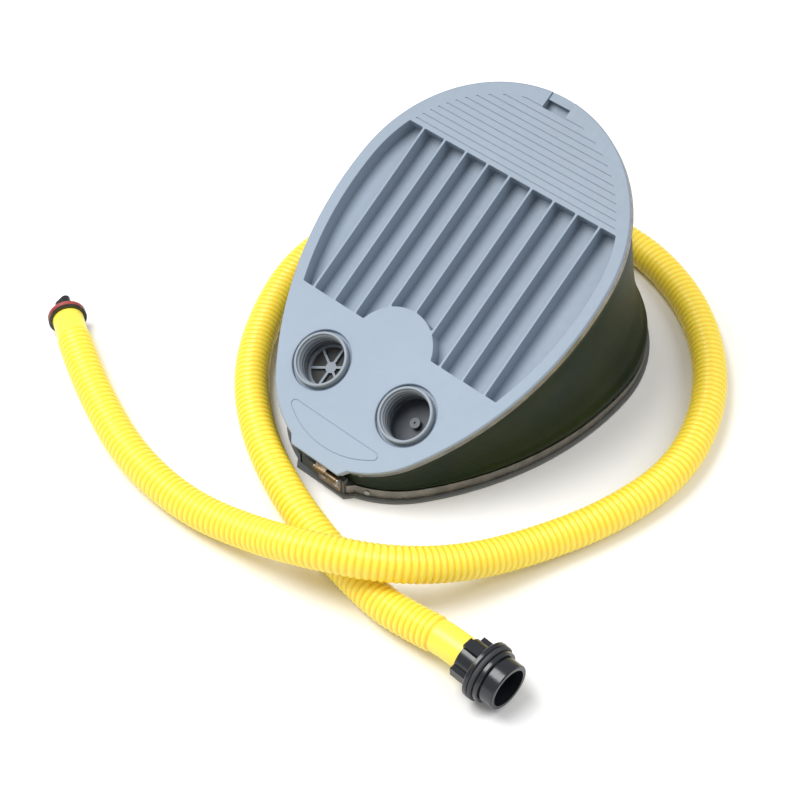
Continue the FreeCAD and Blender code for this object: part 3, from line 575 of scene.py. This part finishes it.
def bellows_places():
    """For each place round the cloth: base point, way out there, board point, way out there."""
    turn = TO_BOARD.to_3x3()
    places = []
    low_ring = egg_ring(BASE_INSET + BAND, FABRIC_FRONT + BASE_INSET)
    high_ring = egg_ring(BAND, FABRIC_FRONT)
    for (low, low_out), (high, high_out) in zip(low_ring, high_ring):
        base = TO_BASE @ Vector((low.x, low.y, BASE_RIM_HEIGHT))
        board = TO_BOARD @ Vector((high.x, high.y, -BOARD_RIM_DEPTH))
        places.append((base, low_out.to_3d(), board, turn @ high_out.to_3d()))
    return places


def cloth_offset(share):
    """How far the cloth stands out from a straight wall; share is 0 at the base, 1 at the board."""
    roll = FOOT_ROLL * math.sin(math.pi * min(share / ROLL_SHARE, 1.0)) ** 2
    waist = WAIST * ease(share, *WAIST_RANGE)
    relief = WAIST_RELIEF * ease(share, *RELIEF_RANGE)
    return roll - waist + relief + TOP_HOLD * ease(share, *HOLD_RANGE)


def cloth_point(place, share, inward):
    """A point of the cloth; its middle lies in the plane midway between base and board."""
    base, base_out, board, board_out = place
    low = (base - PIN).dot(MIDWAY_UP)
    high = (board - PIN).dot(MIDWAY_UP)
    middle = -low / (high - low)
    along = share * 2 * middle if share < 0.5 else middle + (share * 2 - 1) * (1 - middle)
    out = base_out.lerp(board_out, share)
    size = ease((board - base).length, 0, FULL_HEIGHT)
    broad = BROAD_STRENGTH * field.noise(base * BROAD_WRINKLES)
    fine = FINE_STRENGTH * field.noise(base * FINE_WRINKLES + Vector((0, 0, share * FINE_CLIMB)))
    hold = math.sin(math.pi * share) * abs(math.cos(math.pi * share))
    ripple = WRINKLE * size * hold * (broad + fine)
    return base.lerp(board, along) + out * (cloth_offset(share) * size + ripple - inward)


def make_cloth(name, places, shares, body):
    """Closed cloth of even thickness through the given shares of the wall's height."""
    count = len(places)
    points = []
    for share in shares:
        points += [cloth_point(place, share, 0) for place in places]
    for share in reversed(shares):
        points += [cloth_point(place, share, CLOTH) for place in places]
    faces = grid_faces(2 * len(shares), count, closed_rows=True)
    piece = new_piece(name, points, faces, LOOKS["cloth"], body)
    sharpen_rows(piece, count, (0, len(shares) - 1, len(shares), 2 * len(shares) - 1))
    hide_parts("bellows")
    return piece


def sharpen_rows(piece, count, rows):
    """Keep the cloth's cut edges from bending its shading."""
    for edge in piece.data.edges:
        first, second = (vertex // count for vertex in edge.vertices)
        if first == second and first in rows:
            edge.use_edge_sharp = True


def make_bellows():
    places = bellows_places()
    low_shares = [0.5 * step / CLOTH_ROWS for step in range(CLOTH_ROWS + 1)]
    high_shares = [0.5 + share for share in low_shares]
    lower = make_cloth("bellows_lower", places, low_shares, "base")
    upper = make_cloth("bellows_upper", places, high_shares, "footboard")
    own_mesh(lower)
    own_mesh(upper)
    make_hems(places)


def make_hems(places):
    """Strips of cloth inside the two bands; they stay up when the folds between them close."""
    base_reach = PIN_Z - HEM_SHORT - BASE_RIM_HEIGHT
    board_reach = PIN_BELOW - HEM_SHORT - BOARD_RIM_DEPTH
    lows = [place[:2] for place in places]
    highs = [place[2:] for place in places]
    make_hem("bellows_hem_low", lows, Vector((0, 0, 1)), base_reach, "base")
    make_hem("bellows_hem_high", highs, -BOARD_UP, board_reach, "footboard")


def make_hem(name, ring, away, reach, body):
    """A closed strip from behind a band almost to the pin's level, leaning inwards."""
    outside = [(-HEM_HIDDEN, 0), (0, 0), (reach, HEM_DEPTH)]
    inside = [(rise, depth + CLOTH) for rise, depth in reversed(outside)]
    levels = outside + inside
    points = [place + away * rise - out * depth for rise, depth in levels for place, out in ring]
    faces = grid_faces(len(levels), len(ring), closed_rows=True)
    new_piece(name, points, faces, LOOKS["cloth"], body)


# ---------------------------------------------------------------- spring
def spring_point(turn):
    """Centre of the wire after so many turns, on a coil that bends round the hinge."""
    clear = SPRING_WIRE + SPRING_GAP
    reach = PIN_AHEAD + SPRING_BACK
    low = math.atan2(SPRING_FOOT + clear - PIN_Z, reach)
    high = OPEN_ANGLE + math.atan2(PIN_BELOW - SPRING_TOP - clear, reach)
    travel = min(max((turn - SPRING_SEAT) / (SPRING_TURNS - 2 * SPRING_SEAT), 0.0), 1.0)
    angle = low + (high - low) * travel
    around = 2 * math.pi * turn
    tilt = Matrix.Rotation(OPEN_ANGLE * travel, 3, "X")
    circle = Vector((SPRING_RADIUS * math.cos(around), SPRING_RADIUS * math.sin(around), 0))
    return PIN + Vector((0, reach * math.cos(angle), reach * math.sin(angle))) + tilt @ circle


def make_spring():
    steps = SPRING_TURNS * SPRING_STEPS
    line = [spring_point(step * SPRING_TURNS / steps) for step in range(steps + 1)]
    points, faces = tube_mesh(spots_along(line), lambda along: SPRING_WIRE, SPRING_SIDES)
    piece = new_piece("coil_spring", points, faces, LOOKS["steel"], "base")
    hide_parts("spring")
    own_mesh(piece)


# ---------------------------------------------------------------- ports
def thread_depth(angle, height):
    """0 on the root and 1 on the crest of a one-start thread, faded in below the lip."""
    phase = (height / THREAD_PITCH + angle / (2 * math.pi)) % 1.0
    crest = 1 - ease(abs(phase - 0.5), *THREAD_FLANK)
    return crest * (1 - ease(height, *THREAD_FADE))


def port_rings():
    """(radius, height) of each ring, and the number of the first one that the thread may cut.

    The rings go up the outside, over the lip and down the bore.
    """
    rings = [(PORT_RING, -PORT_FOOT), (PORT_RING, PORT_RISE - PORT_LIP)]
    for step in range(1, ROUND_STEPS + 1):
        angle = math.pi / 2 * step / ROUND_STEPS
        rings.append((PORT_RING - PORT_LIP * (1 - math.cos(angle)),
                      PORT_RISE - PORT_LIP * (1 - math.sin(angle))))
    for step in range(ROUND_STEPS + 1):
        angle = math.pi / 2 * step / ROUND_STEPS
        rings.append((THREAD_ROOT + PORT_LIP - INNER_ROUND * (1 + math.sin(angle)),
                      PORT_RISE - INNER_ROUND * (1 - math.cos(angle))))
    plain = len(rings)
    top = PORT_RISE - THREAD_START
    for step in range(THREAD_STEPS + 1):
        rings.append((THREAD_ROOT, top - (top + PORT_FOOT) * step / THREAD_STEPS))
    return rings, plain


def make_port(name, node, x):
    """Raised screw socket with a thread down its bore, as one closed ring."""
    rings, plain = port_rings()
    points = []
    # How far down the bore each ring lies; it places the painted shade there.
    down = []
    for index, (radius, height) in enumerate(rings):
        for column in range(PORT_SIDES):
            angle = 2 * math.pi * column / PORT_SIDES
            cut = (THREAD_ROOT - THREAD_CREST) * thread_depth(angle, height) if index >= plain else 0
            reach = radius - cut
            spot = Vector((x + reach * math.cos(angle), PORT_BACK + reach * math.sin(angle), height))
            points.append(TO_BOARD @ spot)
            down.append(min(max(-height / PORT_FOOT, 0.0), 1.0))
    faces = grid_faces(len(rings), PORT_SIDES, closed_rows=True)
    piece = new_piece(name, points, faces, LOOKS["socket"], "footboard")
    piece.data.attributes.new("down", "FLOAT", "POINT").data.foreach_set("value", down)
    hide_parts(node)


# ---------------------------------------------------------------- build
LOOKS = {
    # The board gets painted shade, up to 0.28 darker towards the heel.
    "board": plastic("board_plastic", (0.295, 0.367, 0.455), 0.46, heel_shade=0.28),
    "base": plastic("base_plastic", (0.13, 0.14, 0.145), 0.42),
    "socket": port_plastic(),
    "spider": plastic("spider_plastic", PORT_COLOUR, 0.38),
    # The outlet seat and its pin are the socket plastic darkened as painted shade deep in the outlet.
    "outlet_seat": plastic("shaded_seat_plastic", (0.10, 0.12, 0.145), 0.42),
    "band": metal("band_metal", (0.235, 0.22, 0.19), 0.38),
    "brass": metal("hinge_brass", (0.24, 0.185, 0.125), 0.42),
    "steel": metal("steel", (0.42, 0.41, 0.40), 0.30),
    "latch": plastic("latch_plastic", (0.05, 0.055, 0.06), 0.45),
    "flap": rubber("flap_rubber", (0.02, 0.02, 0.02)),
    # The outlet flap is dark rubber, darkened further as painted shade deep in the outlet.
    "outlet_flap": rubber("shaded_outlet_flap_rubber", (0.045, 0.055, 0.072), 0.5),
    "fitting": plastic("fitting_plastic", (0.012, 0.014, 0.018), 0.22, specular=0.55),
    "gasket": rubber("gasket_rubber", (0.03, 0.03, 0.035)),
    "o_ring": rubber("o_ring_rubber", (0.34, 0.045, 0.035), 0.45),
    "cloth": coated_cloth(),
}
DRESS = {
    "board": ["footboard"],
    "base": ["base_plate"],
    "spider": ["intake_spider", "intake_flap_pin"],
    "outlet_seat": ["outlet_seat", "outlet_flap_pin"],
    "band": ["base_clamp_band", "top_clamp_band"],
    "brass": ["hinge_leaf_base", "hinge_leaf_top"],
    "steel": ["hinge_pin", "latch_pin", "hinge_screws_base", "hinge_screws_top", "base_band_rivets",
              "top_band_rivets"],
    "latch": ["latch_hook"],
    "flap": ["intake_flap"],
    "outlet_flap": ["outlet_flap"],
    "fitting": ["pump_end_connector", "valve_end_adaptor"],
    "gasket": ["pump_end_gasket"],
    "o_ring": ["valve_end_o_ring"],
}

add_camera()
make_hose()
add_studio()
make_bellows()
make_spring()
make_port("intake_socket", "intake_port", -PORT_SIDE)
make_port("outlet_socket", "outlet_port", PORT_SIDE)
for look, names in DRESS.items():
    for name in names:
        nodes[name].data.materials.clear()
        nodes[name].data.materials.append(LOOKS[look])
